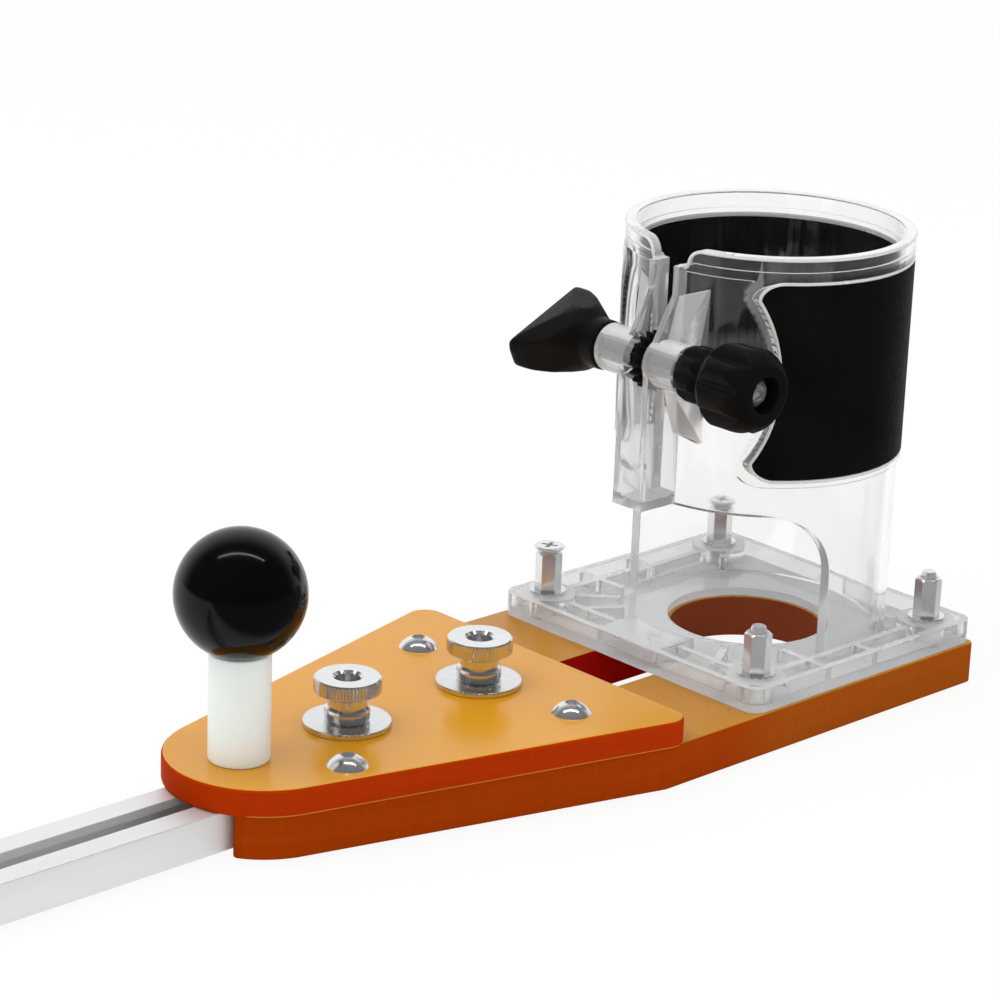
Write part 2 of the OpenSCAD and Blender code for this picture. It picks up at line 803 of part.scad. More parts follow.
// Turned envelope of the knob along the clamp axis
module knob_envelope() {
  h = knob_hub_d / 2;
  r = knob_d / 2;
  l = knob_l;
  translate([-clamp_x, knob_y, clamp_z]) rotate([90, 0, 0]) rotate_extrude() polygon([[0, 0],
    [h - 2, 0], [h - 0.6, 1], [h, 3], [h, l * 0.24], [h - 1.2, l * 0.31], [h - 1.2, l * 0.34],
    [r - 1.2, l * 0.44], [r, l * 0.52], [r, l * 0.78], [r - 0.5, l * 0.86], [r - 1.5, l * 0.93],
    [r - 2.7, l * 0.98], [r - 3.6, l], [0, l]]);
}

module depth_knob() {
  color([0.03, 0.03, 0.03])
  difference() {
    union() {
      intersection() {
        lobed(knob_hub_d, knob_y + 0.1, knob_y - knob_l * 0.36);
        knob_envelope();
      }
      intersection() {
        lobed(knob_d, knob_y - knob_l * 0.32, knob_end - 0.1);
        knob_envelope();
      }
    }
    clamp_rod(shaft_d, knob_y - shaft_in, knob_y + 1);
    clamp_rod(clamp_d + 2 * move_gap, knob_end - 1, knob_y + 1);
    clamp_rod(clamp_head_d + 2 * head_gap, knob_end - 1, knob_end + head_seat);
  }
}

module clamp_screw() {
  seat = knob_end + head_seat;
  color([0.75, 0.76, 0.78])
  difference() {
    union() {
      clamp_rod(clamp_d, seat - 0.5, wing_y + wing_insert_l + 5);
      translate([-clamp_x, seat, clamp_z]) rotate([90, 0, 0]) dome(clamp_head_d / 2, clamp_head_h);
    }
    translate([-clamp_x, seat - clamp_head_h, clamp_z]) rotate([90, 0, 0]) rotate(35)
      cross_recess(clamp_head_d * 0.58, 1, clamp_head_h * 0.63);
  }
}

// Wing seen from above: half width against distance along the clamp axis
module wing_plan() {
  a = wing_w / 2;
  f = wing_foot_d / 2;
  l = wing_l;
  half = [[f, 0], [f, l * 0.2], [a * 0.66, l * 0.47], [a * 0.9, l * 0.77], [a * 0.98, l * 0.9],
    [a * 0.96, l * 0.96], [a * 0.86, l]];
  polygon(concat(half, [for (i = [len(half) - 1 : -1 : 0]) [-half[i][0], half[i][1]]]));
}

// Wing seen from its tip: half thickness against distance along the clamp axis
module wing_edge() {
  b = wing_belly_d / 2;
  f = wing_foot_d / 2;
  t = wing_t / 2;
  l = wing_l;
  half = [[0, f], [l * 0.2, f], [l * 0.37, b - 0.3], [l * 0.45, b], [l * 0.54, b - 0.2], [l * 0.78, t + 2],
    [l * 0.95, t + 0.5], [l, t - 0.4]];
  polygon(concat(half, [for (i = [len(half) - 1 : -1 : 0]) [half[i][0], -half[i][1]]]));
}

// Turned envelope that makes the foot round, standing along +Z
module wing_turned() {
  f = wing_foot_d / 2;
  rotate_extrude() polygon([[0, -0.1], [f - 0.4, -0.1], [f, 0.5], [f, wing_l * 0.2],
    [wing_w * 0.36, wing_l * 0.48], [wing_w * 0.55, wing_l * 0.86], [wing_w * 0.55, wing_l + 1],
    [0, wing_l + 1]]);
}

// Wing seen from outside: rounded blade over a round belly
module wing_face() {
  a = wing_w / 2;
  t = wing_t * 0.62;
  round_outline([[-a + t, 0, t], [0, -0.01, wing_belly_d / 2], [a - t, 0, t], [0, 0.01, wing_belly_d / 2]]);
}

module wing_nut() {
  color([0.03, 0.03, 0.03])
  difference() {
    translate([-clamp_x, wing_y, clamp_z]) rotate([0, -wing_turn, 0]) intersection() {
      translate([0, wing_l, 0]) rotate([90, 0, 0]) linear_extrude(wing_l) wing_face();
      translate([0, 0, -wing_belly_d]) linear_extrude(2 * wing_belly_d) wing_plan();
      translate([-wing_w, 0, 0]) rotate([90, 0, 90]) linear_extrude(2 * wing_w) wing_edge();
      rotate([-90, 0, 0]) wing_turned();
    }
    clamp_rod(clamp_d + 4, wing_y - 1, wing_y + wing_insert_l);
    clamp_rod(clamp_d + 2 * move_gap, wing_y, wing_y + wing_insert_l + 7);
  }
}

module wing_insert() {
  color([0.75, 0.6, 0.25])
  difference() {
    clamp_rod(clamp_d + 4, wing_y, wing_y + wing_insert_l);
    clamp_rod(clamp_d + 2 * thread_gap, wing_y - 1, wing_y + wing_insert_l + 1);
  }
}

// Screws and pillars that hold the clear base

module base_screw_head(grow, drop) {
  d = base_screw_head_d + grow;
  translate([0, 0, -drop]) cylinder(d = d, h = drop + 0.5);
  translate([0, 0, 0.5]) cylinder(d1 = d, d2 = base_screw_d + grow, h = 1.9);
}

module base_screw(end) {
  difference() {
    union() {
      intersection() {
        base_screw_head(0, 0);
        translate([0, 0, 0.3]) cylinder(d = base_screw_head_d, h = 5);
      }
      translate([0, 0, 1]) cylinder(d = base_screw_d, h = end - 1);
    }
    rotate([180, 0, 0]) translate([0, 0, -0.3]) rotate(40) cross_recess(4, 1, 1.4);
  }
}

module base_screws() {
  color([0.7, 0.71, 0.73])
  for (p = flare_places) translate(p) base_screw(pillar_top - flare_l - 0.6);
}

module stud_screws() {
  color([0.7, 0.71, 0.73])
  for (p = pillar_places) translate(p) {
    base_screw(pillar_top + 0.5);
    translate([0, 0, pillar_top + 0.5]) intersection() {
      sphere(d = base_screw_d);
      translate([0, 0, -0.2]) cylinder(d = base_screw_d, h = 1.3);
    }
  }
}

module pillar_washers() {
  color([0.78, 0.79, 0.81])
  for (p = corner_places) translate([p[0], p[1], base_t + flange_h])
  linear_extrude(pillar_washer_t) difference() {
    circle(d = pillar_washer_d);
    circle(d = base_screw_d + 2 * hole_gap);
  }
}

module hex_pillars() {
  c = pillar_af / cos(30);
  color([0.74, 0.75, 0.77])
  for (p = corner_places) translate([p[0], p[1], pillar_z]) difference() {
    intersection() {
      rotate(16) cylinder(d = c, h = pillar_h, $fn = 6);
      cylinder(d1 = c + 2 * pillar_h, d2 = pillar_af - 0.5, h = pillar_h + 0.01);
    }
    translate([0, 0, -1]) cylinder(d = base_screw_d + 2 * hole_gap, h = pillar_h + 2);
  }
}

module flare_screws() {
  color([0.78, 0.79, 0.81])
  for (p = flare_places) translate([p[0], p[1], pillar_top]) difference() {
    union() {
      cylinder(d1 = pillar_af - 0.6, d2 = flare_d, h = flare_h * 0.75);
      translate([0, 0, flare_h * 0.75]) cylinder(d1 = flare_d, d2 = flare_d - 1.2, h = flare_h / 4);
      translate([0, 0, -flare_l]) cylinder(d = base_screw_d, h = flare_l + 0.4);
    }
    translate([0, 0, flare_h]) rotate(25) cross_recess(flare_d * 0.53, 1, flare_h * 0.65);
  }
}

base_plate();
top_plate();
plate_screws();
rail();
front_t_bolt();
rear_t_bolt();
front_washer();
rear_washer();
front_thumb_nut();
rear_thumb_nut();
handle_post();
handle_bolt();
ball_knob();
ball_insert();
clear_base();
grip_sleeve();
pinion();
depth_knob();
clamp_screw();
wing_nut();
wing_insert();
base_screws();
stud_screws();
pillar_washers();
hex_pillars();
flare_screws();
pivot_pin();
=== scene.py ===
import json
import math

import bmesh
import bpy
from mathutils import Matrix, Quaternion, Vector


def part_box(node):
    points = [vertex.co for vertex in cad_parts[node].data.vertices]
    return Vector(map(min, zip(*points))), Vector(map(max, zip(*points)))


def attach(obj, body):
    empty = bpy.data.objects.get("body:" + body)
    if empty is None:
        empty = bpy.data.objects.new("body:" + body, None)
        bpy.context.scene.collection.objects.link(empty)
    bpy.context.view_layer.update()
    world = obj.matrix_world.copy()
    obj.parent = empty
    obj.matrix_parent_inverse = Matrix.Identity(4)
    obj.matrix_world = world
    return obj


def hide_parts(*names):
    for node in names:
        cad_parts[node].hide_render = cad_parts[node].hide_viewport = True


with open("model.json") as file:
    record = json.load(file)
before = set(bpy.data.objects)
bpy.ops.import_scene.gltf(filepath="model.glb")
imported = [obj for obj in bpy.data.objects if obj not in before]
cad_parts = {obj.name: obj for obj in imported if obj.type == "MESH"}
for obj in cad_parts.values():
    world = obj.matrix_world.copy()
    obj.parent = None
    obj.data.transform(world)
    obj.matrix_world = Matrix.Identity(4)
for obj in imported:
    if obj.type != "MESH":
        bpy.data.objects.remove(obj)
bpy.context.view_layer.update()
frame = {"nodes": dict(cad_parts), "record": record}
scene = bpy.context.scene
scene.view_settings.view_transform = "Standard"
MM = 0.001


def add_object(name, data):
    """New object of the scene with this data."""
    ob = bpy.data.objects.new(name, data)
    scene.collection.objects.link(ob)
    return ob


# Camera, fitted to points measured in the photograph

CAM_POS = Vector((-608.78, -544.26, 316.75)) * MM
CAM_YAW, CAM_PITCH, CAM_ROLL = map(math.radians, (46.34, 18.66, 2.12))
FOCAL_PX, FRAME_PX, SENSOR = 3368.83, 1000, 36.0
CLIP_NEAR, CLIP_FAR = 0.01, 50.0


def make_camera():
    """Camera that looks along its yaw and pitch and is rolled about its view."""
    level = math.cos(CAM_PITCH)
    fwd = Vector((level * math.cos(CAM_YAW), level * math.sin(CAM_YAW), -math.sin(CAM_PITCH)))
    side = Vector((math.sin(CAM_YAW), -math.cos(CAM_YAW), 0))
    top = side.cross(fwd)
    right = math.cos(CAM_ROLL) * side + math.sin(CAM_ROLL) * top
    up = math.cos(CAM_ROLL) * top - math.sin(CAM_ROLL) * side
    data = bpy.data.cameras.new("camera")
    data.sensor_width = SENSOR
    data.sensor_fit = "HORIZONTAL"
    data.lens = FOCAL_PX / FRAME_PX * SENSOR
    data.clip_start, data.clip_end = CLIP_NEAR, CLIP_FAR
    cam = add_object("camera", data)
    turn = Matrix((right, up, -fwd)).transposed()
    cam.matrix_world = Matrix.Translation(CAM_POS) @ turn.to_4x4()
    scene.camera = cam


make_camera()


# Node helpers

NOISE_LOW, NOISE_HIGH = 0.3, 0.7


def rgba(tone):
    return (*tone, 1.0)


def shade(tone, factor):
    return tuple(c * factor for c in tone)


class Tree:
    """Short way to add and link shader nodes."""

    def __init__(self, tree):
        self.tree = tree

    def add(self, kind, props=None, **inputs):
        """New node. An input is called by its name, with _ for a space, or by its place, such as i0."""
        node = self.tree.nodes.new("ShaderNode" + kind)
        for key, value in (props or {}).items():
            setattr(node, key, value)
        for key, value in inputs.items():
            self.put(node, key, value)
        return node

    def put(self, node, key, value):
        """Links an input to a socket or to a node's first output, or sets its value."""
        by_place = key[0] == "i" and key[1:].isdigit()
        socket = node.inputs[int(key[1:]) if by_place else key.replace("_", " ")]
        if isinstance(value, bpy.types.Node):
            value = value.outputs[0]
        if isinstance(value, bpy.types.NodeSocket):
            self.tree.links.new(value, socket)
        else:
            socket.default_value = value

    def math(self, op, a, b, clamp=False):
        return self.add("Math", {"operation": op, "use_clamp": clamp}, i0=a, i1=b).outputs[0]

    def span(self, value, lo, hi, out_lo=0.0, out_hi=1.0, smooth=False):
        """Maps lo to out_lo and hi to out_hi, and holds the value beyond them."""
        kind = "SMOOTHSTEP" if smooth else "LINEAR"
        ends = {"From_Min": lo, "From_Max": hi, "To_Min": out_lo, "To_Max": out_hi}
        return self.add("MapRange", {"interpolation_type": kind}, Value=value, **ends).outputs[0]

    def vary(self, noise, out_lo=0.0, out_hi=1.0):
        """Spreads the middle of a noise over a range."""
        return self.span(noise, NOISE_LOW, NOISE_HIGH, out_lo, out_hi)

    def mix(self, fac, a, b):
        """Colour between two tones or sockets."""
        ends = {k: rgba(v) if isinstance(v, tuple) else v for k, v in (("i6", a), ("i7", b))}
        return self.add("Mix", {"data_type": "RGBA"}, i0=fac, **ends).outputs[2]

    def blend(self, fac, a, b):
        """Number between two others."""
        return self.add("Mix", {"data_type": "FLOAT"}, i0=fac, i2=a, i3=b).outputs[0]

    def place(self, scale=(1, 1, 1)):
        """Point on the object, stretched by a scale along each axis."""
        coord = self.add("TexCoord").outputs["Object"]
        return self.add("Mapping", Vector=coord, Scale=scale).outputs[0]

    def noise(self, vec, scale, detail=3.0, rough=0.5):
        return self.add("TexNoise", Vector=vec, Scale=scale, Detail=detail, Roughness=rough).outputs[0]


def material(name, **sockets):
    """New material with constant values on the sockets of its shader."""
    mat = bpy.data.materials.new(name)
    mat.use_nodes = True
    bsdf = mat.node_tree.nodes["Principled BSDF"]
    for key, value in sockets.items():
        bsdf.inputs[key.replace("_", " ")].default_value = value
    return mat, Tree(mat.node_tree), bsdf


def tint(t, bsdf, noise, tone, dark, light=1.0):
    """Lets the colour drift between two shades of a tone."""
    t.put(bsdf, "Base_Color", t.mix(t.vary(noise), shade(tone, dark), shade(tone, light)))


def bump(t, bsdf, height, strength, distance):
    t.put(bsdf, "Normal", t.add("Bump", Height=height, Strength=strength, Distance=distance))


# Materials

BACK_SPAN = (-60 * MM, -30 * MM)
LOWER_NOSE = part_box("base_plate")[0].x
# Painted highlight: a light orange line along the foot of the upper plate's sawn edge, standing in for
# light from the floor on its lower edge.
PAINTED_LIGHT_LINE = (0.55, 0.2, 0.02)
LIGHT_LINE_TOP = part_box("top_plate")[0].z + 0.6 * MM
LIGHT_LINE_FADE, LIGHT_LINE_START = 0.1 * MM, 1 * MM
NO_LIGHT_LINE = -1.0
CLEAR_ROUND = 0.4 * MM
HAZE_HIGH = 0.75


def phenolic_face(name, tone, rough, shine):
    """Pressed face of the sheet: even colour with faint clouds, soft gloss."""
    mat, t, b = material(name, IOR=1.52, Specular_IOR_Level=shine)
    spot = t.place()
    tint(t, b, t.noise(spot, scale=38, detail=4, rough=0.55), tone, dark=0.97, light=1.03)
    gloss = t.noise(spot, scale=120, detail=4, rough=0.6)
    t.put(b, "Roughness", t.vary(gloss, rough - 0.03, rough + 0.04))
    bump(t, b, t.noise(spot, scale=700, detail=2), strength=0.03, distance=0.1 * MM)
    return mat


def phenolic_edge(name, tone, back=None, light_line_top=NO_LIGHT_LINE):
    """Sawn edge of the sheet: deeper colour, faint layers and saw marks, and a painted highlight: a
    light line along its foot, below the given top height, standing in for light from the floor on its
    lower edge.

    The tone changes to that of the back along the length of the sheet.
    """
    mat, t, b = material(name, IOR=1.5, Specular_IOR_Level=0.01)
    layers = t.noise(t.place((0.25, 0.25, 5)), scale=90, detail=4, rough=0.6)
    marks = t.noise(t.place((6, 6, 0.3)), scale=160, rough=0.6)
    both = t.math("ADD", t.math("MULTIPLY", layers, 0.6), t.math("MULTIPLY", marks, 0.4))
    spot = t.add("SeparateXYZ", Vector=t.place()).outputs
    core = t.mix(t.span(spot["X"], *BACK_SPAN, smooth=True), tone, back or tone)
    # Paints the highlight line on the edge below the top height, from where it stands over the lower
    # plate.
    over_lower = t.span(spot["X"], LOWER_NOSE, LOWER_NOSE + LIGHT_LINE_START)
    near_foot = t.span(spot["Z"], light_line_top, light_line_top - LIGHT_LINE_FADE)
    base = t.mix(t.math("MULTIPLY", near_foot, over_lower), core, PAINTED_LIGHT_LINE)
    lit = t.add("VectorMath", {"operation": "SCALE"}, i0=base, Scale=t.vary(both, 0.9, 1.1))
    t.put(b, "Base_Color", lit)
    t.put(b, "Roughness", t.vary(layers, 0.45, 0.6))
    bump(t, b, both, strength=0.12, distance=0.2 * MM)
    return mat


def plated(name, tone, rough, scale=260, metallic=1.0):
    """Bare or plated metal with faint stains."""
    mat, t, b = material(name, Metallic=metallic)
    spot = t.place()
    tint(t, b, t.noise(spot, scale, detail=4, rough=0.6), tone, dark=0.94)
    t.put(b, "Roughness", t.vary(t.noise(spot, scale * 3), rough * 0.85, rough * 1.2))
    bump(t, b, t.noise(spot, scale * 2, detail=2), strength=0.03, distance=0.05 * MM)
    return mat


def extruded(name, tone):
    """Anodised metal with fine lines along its length."""
    mat, t, b = material(name, Metallic=0.55, Anisotropic=0.35)
    lines = t.noise(t.place((0.02, 1, 1)), scale=1500, rough=0.6)
    tint(t, b, t.noise(t.place((0.15, 1, 1)), scale=60), tone, dark=0.93)
    t.put(b, "Roughness", t.vary(lines, 0.42, 0.52))
    bump(t, b, lines, strength=0.06, distance=0.05 * MM)
    return mat


def moulded(name, tone, rough, grain_size, depth, shine):
    """Dark plastic or rubber with the grain of its mould."""
    mat, t, b = material(name, IOR=1.47, Specular_IOR_Level=shine)
    spot = t.place()
    grain = t.noise(spot, grain_size, rough=0.55)
    tint(t, b, t.noise(spot, scale=70), tone, dark=0.75, light=1.3)
    t.put(b, "Roughness", t.vary(grain, rough - 0.07, rough + 0.07))
    bump(t, b, grain, strength=0.25, distance=depth)
    return mat


def nylon(name, tone):
    """Turned white plastic that lets light in a little."""
    mat, t, b = material(name, IOR=1.5, Subsurface_Weight=0.25, Subsurface_Scale=4 * MM,
                         Subsurface_Radius=(1.0, 0.9, 0.75))
    rings = t.noise(t.place((1, 1, 0.2)), scale=300)
    tint(t, b, t.noise(t.place(), scale=80), tone, dark=0.96)
    t.put(b, "Roughness", t.vary(rings, 0.36, 0.48))
    bump(t, b, rings, strength=0.08, distance=0.1 * MM)
    return mat


def polished(name, tone):
    """Glossy dark plastic with faint smears."""
    mat, t, b = material(name, IOR=1.5, Specular_IOR_Level=0.18)
    spot = t.place()
    smear = t.noise(spot, scale=45, detail=4, rough=0.6)
    tint(t, b, smear, tone, dark=1.0, light=1.8)
    t.put(b, "Roughness", t.span(smear, 0.35, HAZE_HIGH, 0.07, 0.2))
    bump(t, b, t.noise(spot, scale=160, detail=2), strength=0.04, distance=0.2 * MM)
    return mat


def clear(name, tone, through, rough):
    """Clear plastic whose edges catch the light as if they were rounded."""
    mat, t, b = material(name, IOR=1.46, Transmission_Weight=through)
    spot = t.place()
    haze = t.noise(spot, scale=55, detail=4, rough=0.6)
    tint(t, b, haze, tone, dark=0.97)
    t.put(b, "Roughness", t.span(haze, NOISE_LOW, HAZE_HIGH, rough * 0.4, rough * 1.8))
    edge = t.add("Bevel", {"samples": 6}, Radius=CLEAR_ROUND)
    swell = t.noise(spot, scale=60, detail=2)
    t.put(b, "Normal", t.add("Bump", Height=swell, Strength=0.1, Distance=0.6 * MM, Normal=edge))
    return mat


def frosted(name, tone):
    """Underside of the clear moulding, with the fine texture of its mould."""
    mat, t, b = material(name, IOR=1.0, Specular_IOR_Level=0.0)
    spot = t.place()
    haze = t.noise(spot, scale=140, detail=4, rough=0.6)
    tint(t, b, haze, tone, dark=0.95)
    t.put(b, "Roughness", t.span(haze, NOISE_LOW, HAZE_HIGH, 0.35, 0.5))
    bump(t, b, t.noise(spot, scale=1400, detail=2), strength=0.2, distance=0.1 * MM)
    return mat


UPPER_FACE = (0.679542, 0.296138, 0.006049)
UPPER_EDGE = (0.42, 0.032, 0.001)
LOWER_FACE = (0.53, 0.22, 0.004)
LOWER_EDGE = (0.37, 0.045, 0.001)
LOWER_BACK = (0.37, 0.078, 0.005)
HOLE_WALL = (0.29, 0.066, 0.024)
# The slot walls' deeper, slightly darker red is the sawn edge's own red with painted shade from inside
# the slot.
SLOT_RED_AND_SHADE = (0.43, 0.006, 0.002)
SILVER = (0.83, 0.84, 0.86)
ZINC = (0.56, 0.57, 0.59)
NICKEL = (0.82, 0.83, 0.84)
STEEL = (0.78, 0.79, 0.81)
PILLAR = (0.84, 0.85, 0.86)
ALUMINIUM = (0.86, 0.865, 0.87)
BRASS = (0.78, 0.6, 0.27)
BLACK = (0.005, 0.0046, 0.0042)
DEEP_BLACK = (0.0015, 0.0015, 0.0015)
POST_WHITE = (0.91, 0.975, 0.92)
MATS = {
    "base_plate": phenolic_face("lower_face", LOWER_FACE, rough=0.3, shine=0.35),
    "base_edge": phenolic_edge("lower_edge", LOWER_EDGE, back=LOWER_BACK),
    "hole_wall": phenolic_edge("hole_wall", HOLE_WALL),
    "slot_wall": phenolic_edge("slot_wall", SLOT_RED_AND_SHADE),
    "top_plate": phenolic_face("upper_face", UPPER_FACE, rough=0.22, shine=0.38),
    # The upper edge carries the painted highlight line along its foot.
    "top_edge": phenolic_edge("upper_edge", UPPER_EDGE, light_line_top=LIGHT_LINE_TOP),
    "chrome_screws": plated("bright_plating", SILVER, rough=0.17, metallic=0.85),
    "rail": extruded("anodised_rail", ALUMINIUM),
    "bolts": plated("zinc_plating", ZINC, rough=0.3),
    "washers": plated("brushed_washer", STEEL, rough=0.24, scale=420),
    "thumb_nuts": plated("nickel_plating", NICKEL, rough=0.15, metallic=0.92),
    "handle_post": nylon("white_nylon", POST_WHITE),
    "ball_knob": polished("polished_black", DEEP_BLACK),
    "inserts": plated("turned_brass", BRASS, rough=0.25),
    "clear_base": clear("clear_plastic", (0.99, 0.993, 0.993), through=0.997, rough=0.05),
    # Painted light: the thick parts get a white haze that brightens them, standing in for the light and
    # reflections they catch.
    "clear_thick": clear("hazy_plastic", (0.985, 0.988, 0.988), through=0.82, rough=0.06),
    # Painted highlight: the edge and bead finishes are whitened clear plastic, standing in for the
    # bright lines that rounded moulded edges catch.
    "clear_edge": clear("milky_edge", (0.98, 0.985, 0.985), through=0.6, rough=0.2),
    "clear_bead": clear("milky_bead", (0.97, 0.975, 0.975), through=0.3, rough=0.2),
    "clear_under": frosted("frosted_underside", (0.97, 0.975, 0.98)),
    "grip": moulded("soft_grip", BLACK, rough=0.6, grain_size=700, depth=0.2 * MM, shine=0.08),
    "black_plastic": moulded("moulded_black", BLACK, rough=0.5, grain_size=1100, depth=0.18 * MM,
                             shine=0.1),
    "pillars": plated("pillar_plating", PILLAR, rough=0.14, metallic=0.65),
}
SLOTS = {s["node"]: s["material_slot"] for s in frame["record"]["subparts"]}
BODY_OF = {n: b for b, nodes in frame["record"]["behaviour"]["bodies"].items() for n in nodes}


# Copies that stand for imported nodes

WELD = 0.001 * MM
FLAT = math.radians(0.4)
ROUND_FROM = math.radians(32)
ROUND_STEPS = 3
GRIP_INSET = 0.06 * MM
ACROSS = 0.5


def dress(node):
    """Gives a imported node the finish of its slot."""
    me = frame["nodes"][node].data
    me.materials.clear()
    me.materials.append(MATS[SLOTS[node]])


def welded(node):
    """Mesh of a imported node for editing, its doubles merged and its flat areas joined."""
    bm = bmesh.new()
    bm.from_mesh(frame["nodes"][node].data)
    bmesh.ops.remove_doubles(bm, verts=bm.verts, dist=WELD)
    bmesh.ops.dissolve_limit(bm, angle_limit=FLAT, verts=bm.verts, edges=bm.edges)
    return bm


def copy_of(node, suffix):
    """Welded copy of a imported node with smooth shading."""
    bm = welded(node)
    for f in bm.faces:
        f.smooth = True
    me = bpy.data.meshes.new(node + suffix)
    bm.to_mesh(me)
    bm.free()
    return add_object(node + suffix, me)


def final_mesh(ob):
    """New mesh of an object as its modifiers or its curve settings make it."""
    bpy.context.view_layer.update()
    return bpy.data.meshes.new_from_object(ob.evaluated_get(bpy.context.evaluated_depsgraph_get()))


def settle(ob):
    """Turns the modifiers of a piece into its mesh."""
    done = final_mesh(ob)
    ob.modifiers.clear()
    old, name = ob.data, ob.data.name
    ob.data = done
    bpy.data.meshes.remove(old)
    done.name = name


def stand_for(ob, node):
    """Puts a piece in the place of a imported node."""
    if not ob.data.materials:
        ob.data.materials.append(MATS[SLOTS[node]])
    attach(ob, BODY_OF[node])
    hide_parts(node)


def reach(point):
    """Distance from the axis of the tube."""
    return math.hypot(point.x, point.y)


def radial(normal, center):
    """How far a face looks straight away from the axis of the tube, from 0 to 1."""
    return abs(normal.x * center.x + normal.y * center.y) / max(reach(center), MM)


def round_edges(ob, width):
    """Rounds the sharp edges of a piece and keeps its flat areas flat in shading."""
    mod = ob.modifiers.new("edge", "BEVEL")
    mod.width = width
    mod.segments = ROUND_STEPS
    mod.limit_method = "ANGLE"
    mod.angle_limit = ROUND_FROM
    mod.use_clamp_overlap = False
    mod.miter_outer = "MITER_ARC"
    even = ob.modifiers.new("even", "WEIGHTED_NORMAL")
    even.mode = "FACE_AREA"
    even.weight = 100
    settle(ob)


def draw_in(ob, depth):
    """Moves the walls around a piece of the tube inwards, so that they clear the pocket they sit in."""
    bm = bmesh.new()
    bm.from_mesh(ob.data)
    shifts = {}
    for v in bm.verts:
        for f in v.link_faces:
            if radial(f.normal, f.calc_center_median()) < ACROSS:
                shifts[v] = shifts.get(v, Vector()) + f.normal
    for v, way in shifts.items():
        v.co -= way.normalized() * depth
    bm.to_mesh(ob.data)
    bm.free()


def rounded(node, width):
    """Copy of a node with rounded edges."""
    ob = copy_of(node, "_rounded")
    if node == "grip_sleeve":
        draw_in(ob, GRIP_INSET)
    round_edges(ob, width)
    stand_for(ob, node)
    return ob


def softened(node, voxel, rounds):
    """Copy of a node with its edges melted round, as on soft moulded pieces."""
    ob = copy_of(node, "_soft")
    grid = ob.modifiers.new("grid", "REMESH")
    grid.mode = "VOXEL"
    grid.voxel_size = voxel
    grid.use_smooth_shade = True
    ease = ob.modifiers.new("ease", "SMOOTH")
    ease.factor = 0.5
    ease.iterations = rounds
    settle(ob)
    stand_for(ob, node)


def split_faces(ob, finish, test):
    """Gives the faces that pass the test another finish."""
    me = ob.data
    me.materials.append(MATS[finish])
    for f in me.polygons:
        if test(f):
            f.material_index = len(me.materials) - 1


# Clear base and its lips

BASE_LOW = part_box("clear_base")[0].z
BASE_LIFT = 0.06 * MM
ON_BASE = 0.01 * MM
FLANGE_TOP = BASE_LOW + 6.4 * MM
RIB_DEPTH = 1.2 * MM
WALL_INNER, WALL_OUTER = 32.8 * MM, 36.1 * MM
TUBE_RADIUS, RIM_LOW = 35.5 * MM, 111 * MM
FRAME_RADIUS, FRAME_LOW, FRAME_FRONT = 36 * MM, 50 * MM, -31 * MM
FRAME_SLACK = 0.06 * MM
LIP_DEPTH = 1.4 * MM
EAR_BACK, EAR_ROOT, EAR_SIDE = -36.2 * MM, -28 * MM, 5.05 * MM
CLAMP_AXIS = (Vector(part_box("clamp_screw")[0]) + Vector(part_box("clamp_screw")[1])) / 2
BOSS_RADIUS = 6.4 * MM
LEVEL, DOWN = 0.7, -0.9
SHARP = math.radians(28)
BEAD_RADIUS, BEAD_INSET, BEAD_SINK = 0.42 * MM, 0.42 * MM, 0.25 * MM
BEAD_STEPS = 3


def outstanding(f):
    """True for what stands out from the tube below its rim."""
    return reach(f.center) > TUBE_RADIUS and FLANGE_TOP < f.center.z < RIM_LOW


def painted_haze_part(f):
    """True for the thick parts: flange, ears, bosses and the frame around the grip, which get a white
    haze as painted light.
    """
    return f.center.z < FLANGE_TOP or outstanding(f)


def wall_cut(f):
    """True for edges across the wall of the tube."""
    return WALL_INNER < reach(f.center) < WALL_OUTER and radial(f.normal, f.center) < ACROSS


def ear_end(f):
    """True for the upper and lower ends of the ears."""
    return f.center.x < EAR_BACK and abs(f.normal.z) > LEVEL


def rib_top(f):
    """True for the tops of the flange's ribs, outside the tube."""
    high = FLANGE_TOP - RIB_DEPTH < f.center.z < FLANGE_TOP
    return high and f.normal.z > LEVEL and reach(f.center) > WALL_OUTER


def gusset(f):
    """True for the gussets beside the ears, without the bosses of the clamp."""
    beside = outstanding(f) and f.center.x < EAR_ROOT and abs(f.center.y) > EAR_SIDE
    from_clamp = math.hypot(f.center.x - CLAMP_AXIS.x, f.center.z - CLAMP_AXIS.z)
    return beside and reach(f.center) > WALL_OUTER and from_clamp > BOSS_RADIUS


def takes_painted_highlight(f):
    """True for edges and thin parts that are whitened as a painted highlight."""
    return wall_cut(f) or ear_end(f) or rib_top(f) or gusset(f)


def frame_edge(f):
    """True for the edges of the grip's frame and of the rim, away from the ears, that are whitened most
    as a painted highlight.
    """
    return takes_painted_highlight(f) and f.center.z > FRAME_LOW and f.center.x > FRAME_FRONT


def underside(f):
    return f.normal.z < DOWN and f.center.z < BASE_LOW + 2 * BASE_LIFT


def clear_moulding():
    """The clear base, its underside held a hair above the plate so that light gets between them."""
    me = frame["nodes"]["clear_base"].data.copy()
    me.name = "clear_base_clear"
    me.materials.clear()
    ob = add_object(me.name, me)
    for v in me.vertices:
        if v.co.z < BASE_LOW + ON_BASE:
            v.co.z += BASE_LIFT
    stand_for(ob, "clear_base")
    # The thick parts take the haze that is painted light.
    split_faces(ob, "clear_thick", painted_haze_part)
    # Cut edges, ear ends, rib tops, gussets and the frame's edges get the whitened painted highlight.
    split_faces(ob, "clear_edge", takes_painted_highlight)
    split_faces(ob, "clear_bead", frame_edge)
    split_faces(ob, "clear_under", underside)


